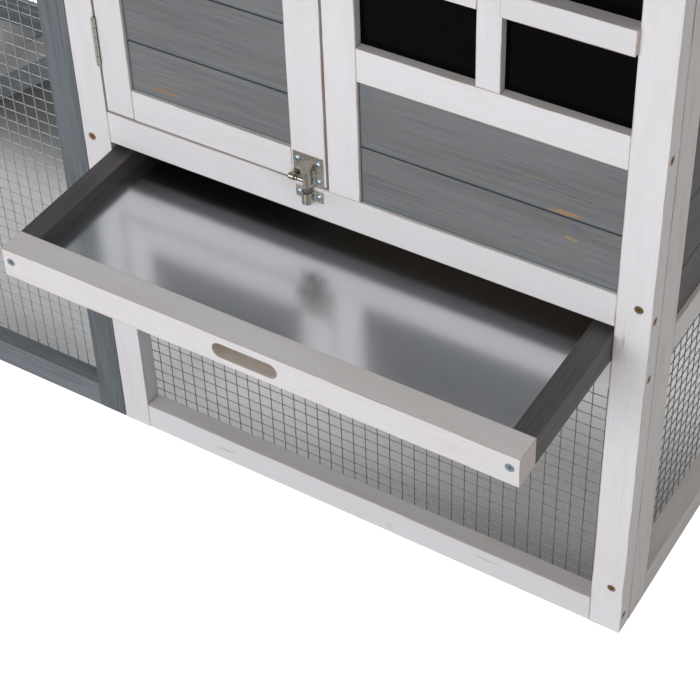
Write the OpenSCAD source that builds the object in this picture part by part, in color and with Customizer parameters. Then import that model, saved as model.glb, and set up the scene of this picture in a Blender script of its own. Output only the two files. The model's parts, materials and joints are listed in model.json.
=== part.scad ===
// Two-storey rabbit hutch: a white framed house on the right, a grey wire run on the left.
// +X runs right along the front, +Y runs to the back, +Z is up. Millimetres.

/* [House] */
// Width of the house across its front posts
house_w = 531; // [500:1:620]
// Depth of house and run
depth = 510; // [440:1:600]
// Height of the front posts at the front plane
front_h = 730; // [700:1:820]
// Fall of the roof from the front plane to the back plane
roof_fall = 80; // [40:1:110]
// Left edge of the centre post
centre_post_x = 250.5; // [235:0.5:300]

/* [Timber] */
// Width of the front posts
post_w = 29; // [24:1:36]
// Height of the cross rails
rail_h = 30; // [24:1:34]
// Thickness of the frame timber
frame_t = 18; // [15:1:22]
// Width of the side stiles, seen from the side
side_stile_w = 32; // [26:1:40]
// Visible height of one tongue-and-groove board
board_pitch = 65; // [50:1:90]
// Thickness of a board
board_t = 10; // [8:1:12]
// Step back from a frame's face to the boards
recess = 3; // [2:0.5:8]

/* [Front levels] */
// Underside of the rail below the tray
low_rail_z = 283; // [250:1:300]
// Underside of the rail above the tray
door_rail_z = 349; // [346:1:365]
// Height of the rail above the tray
door_rail_h = 32; // [28:1:36]
// Underside of the window sill
sill_z = 498; // [470:1:520]
// Underside of the window's cross bars
bar_z = 593; // [570:1:610]
// Height of the window's cross bars
bar_h = 21; // [16:1:26]
// Width of the window's upright bar
bar_w = 20; // [16:1:26]
// How far the right cross bar stands proud
bar_proud = 4.5; // [1:0.5:6]

/* [Tray] */
// How far the tray stands pulled out
tray_out = 151; // [60:1:220]
// Height of the tray's wooden frame
tray_h = 28.5; // [24:0.5:30]
// Thickness of the tray's front
tray_front_t = 25; // [18:1:28]
// Thickness of the tray's sides
tray_side_t = 19.5; // [12:0.5:22]
// Depth of the tray above its metal sheet
tray_deep = 16.5; // [10:0.5:20]
// Length of the tray from front to back
tray_len = 484; // [420:1:486]

/* [Run] */
// Length of the run to the left of the house
run_len = 930; // [700:10:1200]
// Height of the run's posts
run_h = 560; // [520:5:575]
// Width of the run's posts
run_post_w = 30; // [26:1:34]
// How far the ramp's foot stands from the house
ramp_foot = 497; // [440:1:560]
// Width of the ramp
ramp_w = 148; // [120:1:160]

/* [Wire and hardware] */
// Spacing of the welded wires
wire_pitch = 12.7; // [10:0.1:25.4]
// Diameter of the wires
wire_d = 0.9; // [0.7:0.1:1.4]
// Length of a butt hinge
hinge_len = 46; // [40:1:60]
// Height of the door's bolt plate
plate_h = 28.5; // [26:0.5:32]

/* [Roof] */
// Thickness of the roof boards
roof_t = 9; // [8:1:14]
// Overhang past the front
roof_front = 45; // [30:1:70]
// Overhang past the right side
roof_right = 26; // [20:1:50]
// Overhang past the left side
roof_left = 22; // [14:1:24]
// Overhang past the back
roof_back = 28; // [20:1:32]

/* [Hidden] */

white_paint = [0.86, 0.86, 0.87];
grey_stain = [0.42, 0.44, 0.46];
dark_stain = [0.29, 0.29, 0.31];
raw_wood = [0.72, 0.62, 0.5];
zinc = [0.68, 0.68, 0.66];
screw_zinc = [0.6, 0.66, 0.72];
brass = [0.6, 0.48, 0.28];

// Small gaps: between pieces that meet, and between pieces that move past each other
seam = 0.2;
move_gap = 0.4;

// Open joint between two boards, and how far the right side frame stands proud of the front post
board_gap = 1.3;
side_proud = 0.6;

// House outline
right_post_x = house_w - post_w;
centre_post_x1 = centre_post_x + post_w;
back_y = depth - frame_t;
low_rail_top = low_rail_z + rail_h;
door_rail_top = door_rail_z + door_rail_h;
sill_top = sill_z + rail_h;
header_z = front_h - rail_h;
side_rail_z = 296;
side_rail_top = side_rail_z + post_w;
doorway_z = 345;
doorway_h = 182;
rear_batten_w = 18;
doorway_y1 = back_y - rear_batten_w;
doorway_y0 = doorway_y1 - 146;
board_first = 47.5;

// Door
door_gap = 1.6;
pane_y = 7.7;
door_x0 = post_w + door_gap;
door_x1 = centre_post_x - 1.8;
door_z0 = door_rail_top + 2.2;
door_z1 = header_z - 4;
door_inner_x0 = door_x0 + post_w - 0.8;
door_inner_x1 = door_x1 - rail_h - 2.2;

// Tray
tray_z = low_rail_top + 0.5;
tray_top = tray_z + tray_h;
tray_x0 = post_w + 0.5;
tray_x1 = right_post_x - 0.5;
sheet_t = 0.8;
slot_len = 60;
slot_h = 15;

// Run: fixed wire bay beside the house, door bay at the far end
run_x0 = -run_len;
run_right_x = -run_post_w - 0.5;
run_mid_x = (run_x0 + run_right_x) / 2;
run_rail_z1 = run_h - rail_h;
lid_t = 18;
lid_x1 = run_right_x - 2;
lid_z = run_h + move_gap;
lid_mid_x = (run_x0 + lid_x1) / 2 - run_post_w / 2;
run_door_x0 = run_x0 + run_post_w + door_gap;
run_door_x1 = run_mid_x - 4;
run_door_z0 = rail_h + 4;
run_door_z1 = run_rail_z1 - 4;
run_door_bolt_z = 300;
run_keeper_x = run_mid_x + 3;

// Hinges
leaf_t = 0.7;
knuckle_r = 1.8;
bore_r = 0.95;
pin_r = 0.9;
leaf_w = 14;
hinge_room = 0.3;
hinge_y = -knuckle_r - hinge_room;
door_hinge_x = post_w + door_gap / 2;
run_hinge_x = run_x0 + run_post_w + door_gap / 2;
back_hinge_y = depth + knuckle_r + hinge_room;
ramp_hinge_x = -knuckle_r - 0.2;
ramp_hinge_z = doorway_z - 11;
ramp_y1 = back_y - 10;
ramp_y0 = ramp_y1 - ramp_w;
ramp_t = 9;
ramp_rail_w = 12;
ramp_rail_deep = 23;
ramp_top = knuckle_r + ramp_t;
ramp_run = ramp_foot + ramp_hinge_x;
ramp_span = norm([ramp_run, ramp_hinge_z]);
ramp_angle = atan(ramp_hinge_z / ramp_run) + asin(ramp_top / ramp_span);
ramp_len = sqrt(ramp_span * ramp_span - ramp_top * ramp_top);

// Bolts
bolt_r = 3.2;
bolt_room = 3.6;
strap_r = 4.6;
plate_w = 28;
plate_t = 0.9;
plate_side = plate_w / 2 - 4.2;
bolt_x = door_x1 - 2.2 - plate_w / 2;
bolt_y = -bolt_room - 0.8;
plate_z = door_z0;
strap_h = 15;
strap_slope_h = 6;
stem_r = 2.2;
knob_in = 5;
keeper_w = 25.5;
keeper_h = 11;
keeper_z = door_rail_top - keeper_h - 3.5;
keeper_top = keeper_z + keeper_h;

// Screws
head_r = 3.5;
head_sunk = 0.3;
seat_r = 3.9;
screw_len = 28;

// Roof plane: a slope about the front plane's top edge
roof_slope = atan(roof_fall / depth);
felt_t = 2;
trim_h = 30;
trim_t = 9;
roof_y0 = -roof_front;
roof_y1 = depth / cos(roof_slope) + roof_back;
roof_x0 = -roof_left;
roof_x1 = house_w + roof_right;

// Whole object's box, which the origin is centred on
all_x0 = run_x0;
all_x1 = house_w + roof_right + felt_t;
all_y0 = -tray_out;
all_y1 = depth + (roof_back + felt_t) * cos(roof_slope) + (move_gap + roof_t + felt_t) * sin(roof_slope);

function roof_z(y) = front_h - roof_fall * y / depth;

// Moves the house's own corner to the place it has about the model's origin
module placed() {
    translate([-(all_x0 + all_x1) / 2, -(all_y0 + all_y1) / 2, 0]) children();
}

module bar(x0, x1, y0, y1, z0, z1) {
    translate([x0, y0, z0]) cube([x1 - x0, y1 - y0, z1 - z0]);
}

// A piece drawn by its outline seen from the side, standing w wide along X
module side_outline(x, w, points) {
    translate([x + w, 0, 0]) rotate([90, 0, -90]) linear_extrude(w) polygon([for (p = points) [-p[0], p[1]]]);
}

// An upright whose top is cut to the roof's slope
module upright(x, w, y0, y1, z0 = 0) {
    side_outline(x, w, [[y0, z0], [y1, z0], [y1, roof_z(y1)], [y0, roof_z(y0)]]);
}

// A rail just under the roof, cut to its slope
module roof_rail(x, w, y0, y1) {
    side_outline(x, w, [
        [y0, roof_z(y0) - rail_h], [y1, roof_z(y1) - rail_h], [y1, roof_z(y1)], [y0, roof_z(y0)]
    ]);
}

// Section of one tongue-and-groove board, face at 0 and back at board_t, from z0 to z1
module board_section(z0, z1, has_tongue, has_groove) {
    bevel = 0.5;
    tongue_y0 = 3.6;
    tongue_y1 = 6.4;
    slack = 0.2;
    tongue = 4;
    top = has_tongue
        ? [[board_t, z1], [tongue_y1, z1], [tongue_y1, z1 + tongue], [tongue_y0, z1 + tongue],
            [tongue_y0, z1], [bevel, z1], [0, z1 - bevel]]
        : [[board_t, z1], [0, z1]];
    bottom = has_groove
        ? [[0, z0 + bevel], [bevel, z0], [tongue_y0 - slack, z0],
            [tongue_y0 - slack, z0 + tongue + slack], [tongue_y1 + slack, z0 + tongue + slack],
            [tongue_y1 + slack, z0], [board_t, z0]]
        : [[0, z0], [board_t, z0]];
    polygon(concat(top, bottom));
}

// Boards laid up from z0 to z1 over a length, in the X-Z plane with their faces towards -Y
module board_wall(len, z0, z1, first) {
    joints = [for (z = [z0 + first : board_pitch : z1 - 6]) z];
    edges = concat([z0], joints, [z1]);
    for (i = [0 : len(edges) - 2]) {
        rotate([90, 0, 90]) linear_extrude(len)
            board_section(
                edges[i] + (i > 0 ? board_gap : 0), edges[i + 1],
                i < len(edges) - 2, i > 0
            );
    }
}

// The same boards turned so that their faces look along +X (right) or -X (left)
module boards_facing_right(x_face, y0, y1, z0, z1, first) {
    translate([x_face, y0, 0]) rotate(90) board_wall(y1 - y0, z0, z1, first);
}

module boards_facing_left(x_face, y0, y1, z0, z1, first) {
    translate([x_face, y1, 0]) rotate(-90) board_wall(y1 - y0, z0, z1, first);
}

// Welded wire in the X-Z plane, two layers deep, filling w by h from the corner
module wire_panel(w, h) {
    cols = floor(w / wire_pitch);
    rows = floor(h / wire_pitch);
    x_margin = (w - cols * wire_pitch) / 2;
    z_margin = (h - rows * wire_pitch) / 2;
    layer = wire_d + 0.04;
    for (i = [0 : cols])
        translate([x_margin + i * wire_pitch, wire_d / 2, 0]) cylinder(d = wire_d, h = h);
    for (j = [0 : rows])
        translate([0, wire_d / 2 + layer, z_margin + j * wire_pitch])
            rotate([0, 90, 0]) cylinder(d = wire_d, h = w);
}

// Countersunk wood screw with a cross recess, head just under z 0 and shank downwards
module wood_screw(len = screw_len) {
    cross_w = 0.9;
    cross_l = 4.2;
    cross_deep = 1.2;
    difference() {
        rotate_extrude() polygon([
            [0, -len], [0.3, -len], [1.6, -len + 5], [1.6, -3], [head_r, -head_sunk - 0.5],
            [head_r, -head_sunk], [0, -head_sunk]
        ]);
        for (a = [0, 90])
            rotate(a) translate([-cross_l / 2, -cross_w / 2, -head_sunk - cross_deep])
                cube([cross_l, cross_w, cross_deep + 1]);
    }
}

// Countersink the head sits in, cut a little wider than the head
module screw_seat() {
    rotate_extrude() polygon([[0, -3.2], [1.6, -3.2], [seat_r, -0.7], [seat_r, 1], [0, 1]]);
}

// Screws driven along +Y into the front, along -X into the right side, and into the tray's front
module at_front_screws() {
    for (z = [54, 374, 712]) translate([house_w - 11, 0, z]) rotate([90, 0, 0]) children();
    for (z = [348, 712]) translate([9, 0, z]) rotate([90, 0, 0]) children();
}

module at_side_screws() {
    for (z = [18, 302, 362, 513, 700]) translate([house_w, 7, z]) rotate([0, 90, 0]) children();
}

module at_tray_screws() {
    for (x = [tray_x0 + 8, tray_x1 - 8]) translate([x, -tray_out, tray_z + 16.5]) rotate([90, 0, 0]) children();
}

// Small round-headed screw of the bolt plates, its head seated on the face
module plate_screw(len = 8) {
    dome_h = 1.3;
    difference() {
        rotate_extrude() polygon([
            [0, -len], [0.9, -len + 2], [0.9, 0], [2.9, 0], [2.6, 0.8], [1.6, dome_h], [0, dome_h]
        ]);
        for (a = [0, 90])
            rotate(a) translate([-1.7, -0.35, 0.6]) cube([3.4, 0.7, 2]);
    }
}

// One side of a butt hinge about +Z, from z 0 up. Knuckles are shared out by parity.
// The leaf lies in the X-Z plane (flat) or the Y-Z plane (folded) at its own offset.
module hinge_half(own, leaf_from, leaf_to, across, folded) {
    count = 5;
    step = hinge_len / count;
    slit = 0.6;
    difference() {
        union() {
            for (i = [own : 2 : count - 1]) {
                z0 = i * step + slit / 2;
                z1 = (i + 1) * step - slit / 2;
                translate([0, 0, z0]) cylinder(r = knuckle_r, h = z1 - z0);
                if (folded) bar(across, across + leaf_t, 0, leaf_from + 1, z0, z1);
                else bar(min(0, sign(leaf_to) * (leaf_from + 1)), max(0, sign(leaf_to) * (leaf_from + 1)),
                    across, across + leaf_t, z0, z1);
            }
            if (folded) bar(across, across + leaf_t, leaf_from, leaf_to, 0, hinge_len);
            else bar(min(sign(leaf_to) * leaf_from, leaf_to), max(sign(leaf_to) * leaf_from, leaf_to),
                across, across + leaf_t, 0, hinge_len);
        }
        translate([0, 0, -1]) cylinder(r = bore_r, h = hinge_len + 2);
    }
}

// Hinge in a door's gap: the leaves lie back to back against post and door edge
module folded_hinge(own) {
    across = own == 0 ? -door_gap / 2 : door_gap / 2 - leaf_t;
    hinge_half(own, knuckle_r + 0.15, leaf_w, across, true);
}

// Surface hinge: both leaves flat on one face, one each side of the pin
module flat_hinge(own) {
    hinge_half(own, knuckle_r + 0.15, own == 0 ? leaf_w : -leaf_w, -knuckle_r, false);
}

// Leaf that lies on the other side of the pin, against a board above it
module upper_leaf(leaf_to) {
    hinge_half(1, knuckle_r + 0.15, leaf_to, knuckle_r - leaf_t, false);
}

module hinge_pin() {
    cylinder(r = pin_r, h = hinge_len);
    translate([0, 0, -0.6]) cylinder(r = 1.6, h = 0.6);
    translate([0, 0, hinge_len]) cylinder(r = 1.6, h = 0.6);
}

// Where each kind of hinge stands
module at_door_hinges() {
    for (z = [431, 611]) translate([door_hinge_x, hinge_y, z]) children();
}

module at_run_door_hinges() {
    for (z = [90, 400]) translate([run_hinge_x, hinge_y, z]) children();
}

// A hinge at the back with its pin along +X. In its own axes +X points down and -Y to the house.
module on_back(x, z) {
    translate([x, back_hinge_y, z]) rotate([0, 90, 0]) children();
}

module at_lid_hinges() {
    for (x = [run_x0 + 110, lid_x1 - 110 - hinge_len]) on_back(x, run_h + move_gap / 2) children();
}

// The roof's hinges hang under its back overhang, close to the boards
module at_roof_hinges() {
    z = roof_z(back_hinge_y) + (move_gap - knuckle_r - hinge_room) / cos(roof_slope);
    for (x = [70, house_w - 70 - hinge_len]) on_back(x, z) children();
}

module at_ramp_hinges() {
    for (y = [ramp_y0 + 12, ramp_y1 - 12 - hinge_len])
        translate([ramp_hinge_x, y + hinge_len, ramp_hinge_z]) rotate([90, 0, 0]) children();
}

// Bolt running down -Z with its knob towards -X, tip at z 0
module bolt(len, knob_up) {
    rotate_extrude() polygon([[0, 0], [bolt_r - 0.5, 0], [bolt_r, 0.6], [bolt_r, len - 0.6],
        [bolt_r - 0.6, len], [0, len]]);
    translate([0, 0, knob_up]) rotate([0, -90, 0]) rotate_extrude() polygon([
        [0, 0], [stem_r, 0], [stem_r, 7.2], [1.5, 7.5], [1.5, 8.2], [2.6, 8.5], [2.6, 9.3],
        [1.7, 9.6], [1.7, 10.2], [2.6, 10.5], [3, 11.3], [3, 15.4], [2.6, 16.3], [1.8, 16.7], [0, 16.7]
    ]);
}

// Half-round strap over the bolt with a flat foot each side, on a face at y = wall
module strap(h, foot_l, foot_r) {
    wall = -bolt_y;
    foot_y = wall - plate_t;
    turn_r = 1.8;
    difference() {
        union() {
            cylinder(r = strap_r, h = h);
            bar(-strap_r, strap_r, 0, wall, 0, h);
            bar(-foot_l, foot_r, foot_y, wall, 0, h);
            for (side = [-1, 1]) difference() {
                bar(side > 0 ? strap_r - 0.2 : -strap_r - turn_r, side > 0 ? strap_r + turn_r : 0.2 - strap_r,
                    foot_y - turn_r, foot_y + 0.2, 0, h);
                translate([side * (strap_r + turn_r), foot_y - turn_r, -1]) cylinder(r = turn_r, h = h + 2);
            }
        }
        translate([0, 0, -1]) cylinder(r = bolt_room, h = h + 2);
        bar(-bolt_room, bolt_room, 0, wall + 1, -1, h + 1);
    }
}

// Guide of the bolt: a strap slotted on the knob's side, sloping down above into a plate
module bolt_guide() {
    wall = -bolt_y;
    knob_slot_h = 12;
    difference() {
        strap(strap_h, plate_w / 2, plate_w / 2);
        bar(-strap_r - 3, -0.5, -strap_r - 1, wall - 1.2, -1, knob_slot_h);
        bar(-plate_w / 2 - 1, -strap_r + 0.3, wall - 1.2, wall + 1, -1, 6);
    }
    difference() {
        union() {
            translate([0, 0, strap_h]) cylinder(r = strap_r, h = strap_slope_h);
            bar(-strap_r, strap_r, 0, wall - plate_t + 0.1, strap_h, strap_h + strap_slope_h);
        }
        translate([-strap_r - 1, -strap_r, strap_h + 0.4])
            rotate([atan((strap_slope_h - 0.4) / (strap_r + wall - plate_t)), 0, 0])
            translate([0, -5, 0]) cube([2 * strap_r + 2, 20, 20]);
        bar(-strap_r, strap_r, wall - plate_t + 0.1, wall + 1, strap_h - 1, strap_h + strap_slope_h + 1);
    }
    bar(-plate_w / 2, plate_w / 2, wall - plate_t, wall, strap_h, plate_h);
}

// ---- House frame ----

module front_post_left() {
    color(white_paint) placed() difference() {
        upright(0, post_w, 0, frame_t);
        at_front_screws() screw_seat();
    }
}

module front_post_centre() {
    color(white_paint) placed()
        bar(centre_post_x, centre_post_x1, 0, frame_t, door_rail_top, header_z);
}

module front_post_right() {
    color(white_paint) placed() difference() {
        upright(right_post_x, post_w, 0, frame_t);
        at_front_screws() screw_seat();
        at_side_screws() screw_seat();
    }
}

// Bottom rail, the rail below the tray and the rail above it
module front_rails() {
    color(white_paint) placed()
        for (z = [[0, rail_h], [low_rail_z, low_rail_top], [door_rail_z, door_rail_top]])
            bar(post_w, right_post_x, 0, frame_t, z[0], z[1]);
}

module front_header_rail() {
    color(white_paint) placed()
        side_outline(post_w, right_post_x - post_w, [
            [0, header_z], [frame_t, header_z], [frame_t, roof_z(frame_t)], [0, roof_z(0)]
        ]);
}

module window_sill() {
    color(white_paint) placed() bar(centre_post_x1, right_post_x, 0, frame_t, sill_z, sill_top);
}

// Upright glazing bar with a cross bar each side of it. The right one stands proud.
module window_bars() {
    mid = (centre_post_x1 + right_post_x) / 2 - 0.8;
    bar_t = pane_y - seam;
    left_x1 = mid - bar_w / 2;
    right_x0 = mid + bar_w / 2;
    color(white_paint) placed() {
        bar(left_x1, right_x0, 0, bar_t, sill_top, header_z);
        bar(centre_post_x1, left_x1 - seam / 4, 0, bar_t, bar_z, bar_z + bar_h);
        bar(right_x0 + seam / 4, right_post_x, -bar_proud, bar_t, bar_z + 3, bar_z + 3 + bar_h);
    }
}

module window_pane() {
    pane_t = 3;
    color([0.03, 0.03, 0.035]) placed()
        bar(centre_post_x1, right_post_x, pane_y, pane_y + pane_t, sill_top, header_z);
}

module window_boards() {
    color(grey_stain) placed() translate([centre_post_x1, recess, 0])
        board_wall(right_post_x - centre_post_x1, door_rail_top, sill_z, 53);
}

module front_mesh() {
    color(zinc) placed() translate([19, frame_t + 0.1, 20]) wire_panel(house_w - 38, low_rail_z - 9);
}

// Four stiles of the two side frames. The left front one ends above the passage into the run.
module side_stiles() {
    right_x = house_w - frame_t;
    right_w = frame_t + side_proud;
    color(white_paint) placed() {
        upright(0, frame_t, frame_t, frame_t + side_stile_w, side_rail_z);
        upright(0, frame_t, doorway_y1, back_y);
        upright(right_x, right_w, frame_t, frame_t + side_stile_w);
        upright(right_x, right_w, back_y - side_stile_w, back_y);
    }
}

// Rails of the two side frames: the left one has no bottom rail, so that rabbits pass into the run
module side_rails() {
    y0 = frame_t + side_stile_w;
    y1 = back_y - side_stile_w;
    right_x = house_w - frame_t;
    right_w = frame_t + side_proud;
    color(white_paint) placed() {
        for (z = [0, side_rail_z]) bar(right_x, right_x + right_w, y0, y1, z, z + (z > 0 ? post_w : rail_h));
        roof_rail(right_x, right_w, y0, y1);
        roof_rail(0, frame_t, y0, doorway_y1);
        bar(0, frame_t, y0, doorway_y1, side_rail_z, doorway_z);
    }
}

// Space between the side frames' rails, which the side boards fill
module side_wall_space(x, y0, y1, z0) {
    side_outline(x, frame_t, [
        [y0, z0], [y1, z0], [y1, roof_z(y1) - rail_h], [y0, roof_z(y0) - rail_h]
    ]);
}

module right_boards() {
    y0 = frame_t + side_stile_w;
    y1 = back_y - side_stile_w;
    color(grey_stain) placed() intersection() {
        boards_facing_right(house_w - recess, y0, y1, side_rail_top, front_h, board_first);
        side_wall_space(house_w - frame_t, y0, y1, side_rail_top);
    }
}

module right_mesh() {
    color(zinc) placed() translate([house_w - frame_t - 0.1, 41, 20]) rotate(90)
        wire_panel(depth - 82, side_rail_z - 20 + 9);
}

// Boards between house and run, with the rabbit's doorway cut through at the back
module left_boards() {
    y0 = frame_t + side_stile_w;
    color(grey_stain) placed() difference() {
        intersection() {
            boards_facing_left(recess, y0, doorway_y1, doorway_z, front_h, board_first);
            side_wall_space(0, y0, doorway_y1, doorway_z);
        }
        bar(-1, frame_t + 1, doorway_y0, doorway_y1 + 1, doorway_z - 1, doorway_z + doorway_h);
    }
}

module back_stiles() {
    color(white_paint) placed()
        for (x = [0, right_post_x]) upright(x, post_w, back_y, depth);
}

module back_rails() {
    color(white_paint) placed() {
        for (z = [0, side_rail_z]) bar(post_w, right_post_x, back_y, depth, z, z + rail_h);
        roof_rail(post_w, right_post_x - post_w, back_y, depth);
    }
}

module back_boards() {
    color(grey_stain) placed() translate([right_post_x, depth - recess, 0]) rotate(180)
        board_wall(right_post_x - post_w, side_rail_z + rail_h, roof_z(depth - recess) - rail_h - 1, board_first);
}

module back_mesh() {
    color(zinc) placed() translate([house_w - 19, back_y - 0.1, 20]) rotate(180)
        wire_panel(house_w - 38, side_rail_z - 20 + 9);
}

// Battens that the tray slides on
module tray_runners() {
    runner_w = 26;
    runner_h = 15;
    top = tray_z - 0.3;
    color(raw_wood) placed()
        for (x = [20, house_w - 20 - runner_w]) bar(x, x + runner_w, frame_t, back_y - 2.5, top - runner_h, top);
}

// ---- House door ----

module door_stiles() {
    color(white_paint) placed() {
        bar(door_x0, door_inner_x0, 0, frame_t, door_z0, door_z1);
        bar(door_inner_x1, door_x1, 0, frame_t, door_z0, door_z1);
    }
}

module door_rails() {
    color(white_paint) placed()
        for (z = [door_z0, door_z1 - rail_h]) bar(door_inner_x0, door_inner_x1, 0, frame_t, z, z + rail_h);
}

module door_boards() {
    color(grey_stain) placed() translate([door_inner_x0, recess, 0])
        board_wall(door_inner_x1 - door_inner_x0, door_z0 + rail_h, door_z1 - rail_h, 48);
}

module door_hinge_leaves() {
    color(zinc) placed() at_door_hinges() folded_hinge(1);
}

module door_bolt_guide() {
    color(zinc) placed() translate([bolt_x, bolt_y, plate_z]) bolt_guide();
}

// The bolt stands drawn up, its tip just clear of the keeper
module door_bolt() {
    tip_gap = 0.3;
    tip_z = keeper_top + tip_gap;
    color(zinc) placed() translate([bolt_x, bolt_y, tip_z])
        bolt(plate_z - tip_z + strap_h - 0.3, plate_z - tip_z + knob_in);
}

// The three screws of a bolt guide, about the guide's own axes
module guide_screws() {
    for (p = [[-plate_side, plate_h - 6.5], [plate_side, plate_h - 6.5], [plate_side, 4.6]])
        translate([p[0], -bolt_y - plate_t, p[1]]) rotate([90, 0, 0]) plate_screw();
}

module door_screws() {
    color(screw_zinc) placed() translate([bolt_x, bolt_y, plate_z]) guide_screws();
}

// ---- Tray ----

module tray_front() {
    slot_x = (tray_x0 + tray_x1) / 2;
    slot_z = tray_z + tray_h / 2 - 0.5;
    half = slot_len / 2 - slot_h / 2;
    color(white_paint) placed() difference() {
        bar(tray_x0, tray_x1, -tray_out, -tray_out + tray_front_t, tray_z, tray_top);
        translate([slot_x, -tray_out - 1, slot_z]) rotate([-90, 0, 0]) {
            for (x = [-half, half]) translate([x, 0, 0]) cylinder(d = slot_h, h = tray_front_t + 2);
            translate([-half, -slot_h / 2, 0]) cube([2 * half, slot_h, tray_front_t + 2]);
        }
        at_tray_screws() screw_seat();
    }
}

// The tray's two sides and the back between them
module tray_sides() {
    y0 = -tray_out + tray_front_t;
    y1 = tray_len - tray_out;
    back_t = 12;
    inner = tray_side_t + seam;
    color(dark_stain) placed() {
        for (x = [tray_x0, tray_x1 - tray_side_t]) bar(x, x + tray_side_t, y0, y1, tray_z, tray_top);
        bar(tray_x0 + inner, tray_x1 - inner, y1 - back_t, y1, tray_z, tray_top);
    }
}

module tray_sheet() {
    back_t = 12;
    z1 = tray_top - tray_deep;
    color([0.75, 0.76, 0.77]) placed()
        bar(tray_x0 + tray_side_t, tray_x1 - tray_side_t, -tray_out + tray_front_t,
            tray_len - tray_out - back_t, z1 - sheet_t, z1);
}

module tray_screws() {
    color(screw_zinc) placed() at_tray_screws() wood_screw(40);
}

// ---- Ramp ----

// Ramp frame: pin at the origin, ramp running down -X, the board's underside just above the leaves
module on_ramp() {
    translate([ramp_hinge_x, ramp_y0, ramp_hinge_z]) rotate([0, -ramp_angle, 0]) children();
}

// A length of the ramp from x_end down to the ground, where it is cut level
module ramp_length(x_end, y0, y1, z0, z1) {
    floor_gap = 0.35;
    points = [for (z = [z0, z1]) [-ramp_len + (ramp_top - z) / tan(ramp_angle) + floor_gap, z]];
    translate([0, y1, 0]) rotate([90, 0, 0]) linear_extrude(y1 - y0)
        polygon([points[0], [x_end, z0], [x_end, z1], points[1]]);
}

module ramp_board() {
    edge = ramp_rail_w + 0.5;
    color(raw_wood) placed() on_ramp() ramp_length(-knuckle_r - 0.4, edge, ramp_w - edge, knuckle_r, ramp_top);
}

// Two rails along the board's edges, their tops just proud of it
module ramp_rails() {
    z1 = ramp_top + 1;
    color(grey_stain) placed() on_ramp()
        for (y = [0, ramp_w - ramp_rail_w]) ramp_length(-22, y, y + ramp_rail_w, z1 - ramp_rail_deep, z1);
}

module ramp_cleats() {
    cleat_w = 14;
    cleat_h = 7;
    first = 190;
    spacing = 95;
    edge = ramp_rail_w + 0.5;
    color(raw_wood) placed() on_ramp()
        for (i = [0 : 3]) {
            x = -ramp_len + first + i * spacing;
            bar(x, x + cleat_w, edge, ramp_w - edge, ramp_top, ramp_top + cleat_h);
        }
}

module ramp_hinge_leaves() {
    color(zinc) placed()
        for (y = [12, ramp_w - 12 - hinge_len])
            on_ramp() translate([0, y + hinge_len, 0]) rotate([90, 0, 0]) upper_leaf(-leaf_w);
}

// ---- Run ----

module run_posts() {
    color(grey_stain) placed() {
        for (x = [run_x0, run_mid_x, run_right_x]) bar(x, x + run_post_w, 0, frame_t, 0, run_h);
        for (x = [run_x0, run_mid_x]) bar(x, x + run_post_w, back_y, depth, 0, run_h);
        bar(-run_post_w - 0.5, -0.5, back_y, depth, 0, run_h);
        for (y = [frame_t + seam, back_y - side_stile_w - seam])
            bar(run_x0, run_x0 + frame_t, y, y + side_stile_w, 0, run_h);
    }
}

module run_rails() {
    end_y0 = frame_t + side_stile_w + 2 * seam;
    bays = [[run_x0 + run_post_w, run_mid_x], [run_mid_x + run_post_w, run_right_x]];
    color(grey_stain) placed() {
        for (z = [0, run_rail_z1]) {
            for (bay = bays) {
                bar(bay[0], bay[1], 0, frame_t, z, z + rail_h);
                bar(bay[0], bay[1], back_y, depth, z, z + rail_h);
            }
            bar(run_x0, run_x0 + frame_t, end_y0, back_y - side_stile_w - 2 * seam, z, z + rail_h);
        }
        bar(run_right_x, -0.5, 0, depth, run_h + seam, run_h + lid_t);
    }
}

module run_front_mesh() {
    x0 = run_mid_x + 12;
    color(zinc) placed() translate([x0, frame_t + 0.1, 14]) wire_panel(-14 - x0, run_h - 28);
}

module run_end_mesh() {
    color(zinc) placed() translate([run_x0 + frame_t + 0.1, depth - 41, 14]) rotate(-90)
        wire_panel(depth - 82, run_h - 28);
}

module run_back_mesh() {
    x0 = run_x0 + 21;
    color(zinc) placed() translate([-14, back_y - 0.1, 14]) rotate(180) wire_panel(-14 - x0, run_h - 28);
}

module run_door_stiles() {
    color(grey_stain) placed() {
        bar(run_door_x0, run_door_x0 + run_post_w, 0, frame_t, run_door_z0, run_door_z1);
        bar(run_door_x1 - run_post_w, run_door_x1, 0, frame_t, run_door_z0, run_door_z1);
    }
}

module run_door_rails() {
    x0 = run_door_x0 + run_post_w;
    x1 = run_door_x1 - run_post_w;
    color(grey_stain) placed()
        for (z = [run_door_z0, run_door_z1 - rail_h]) bar(x0, x1, 0, frame_t, z, z + rail_h);
}

module run_door_mesh() {
    margin = 13;
    color(zinc) placed() translate([run_door_x0 + margin, frame_t + 0.1, run_door_z0 + margin])
        wire_panel(run_door_x1 - run_door_x0 - 2 * margin, run_door_z1 - run_door_z0 - 2 * margin);
}

module run_door_hinge_leaves() {
    color(zinc) placed() at_run_door_hinges() folded_hinge(1);
}

// The run door's bolt lies along +X, its knob upwards
module along_x() {
    translate([run_door_x1 - 0.5, bolt_y, run_door_bolt_z]) rotate([0, -90, 0]) children();
}

module run_door_bolt_guide() {
    color(zinc) placed() along_x() mirror([1, 0, 0]) bolt_guide();
}

module run_door_bolt() {
    tip_gap = 0.3;
    tip = run_keeper_x - tip_gap;
    guide = tip - run_door_x1 + 0.5;
    color(zinc) placed() translate([tip, bolt_y, run_door_bolt_z]) rotate([0, -90, 0]) mirror([1, 0, 0])
        bolt(guide + strap_h - 0.3, guide + knob_in);
}

module run_door_screws() {
    color(screw_zinc) placed() along_x() mirror([1, 0, 0]) guide_screws();
}

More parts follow.
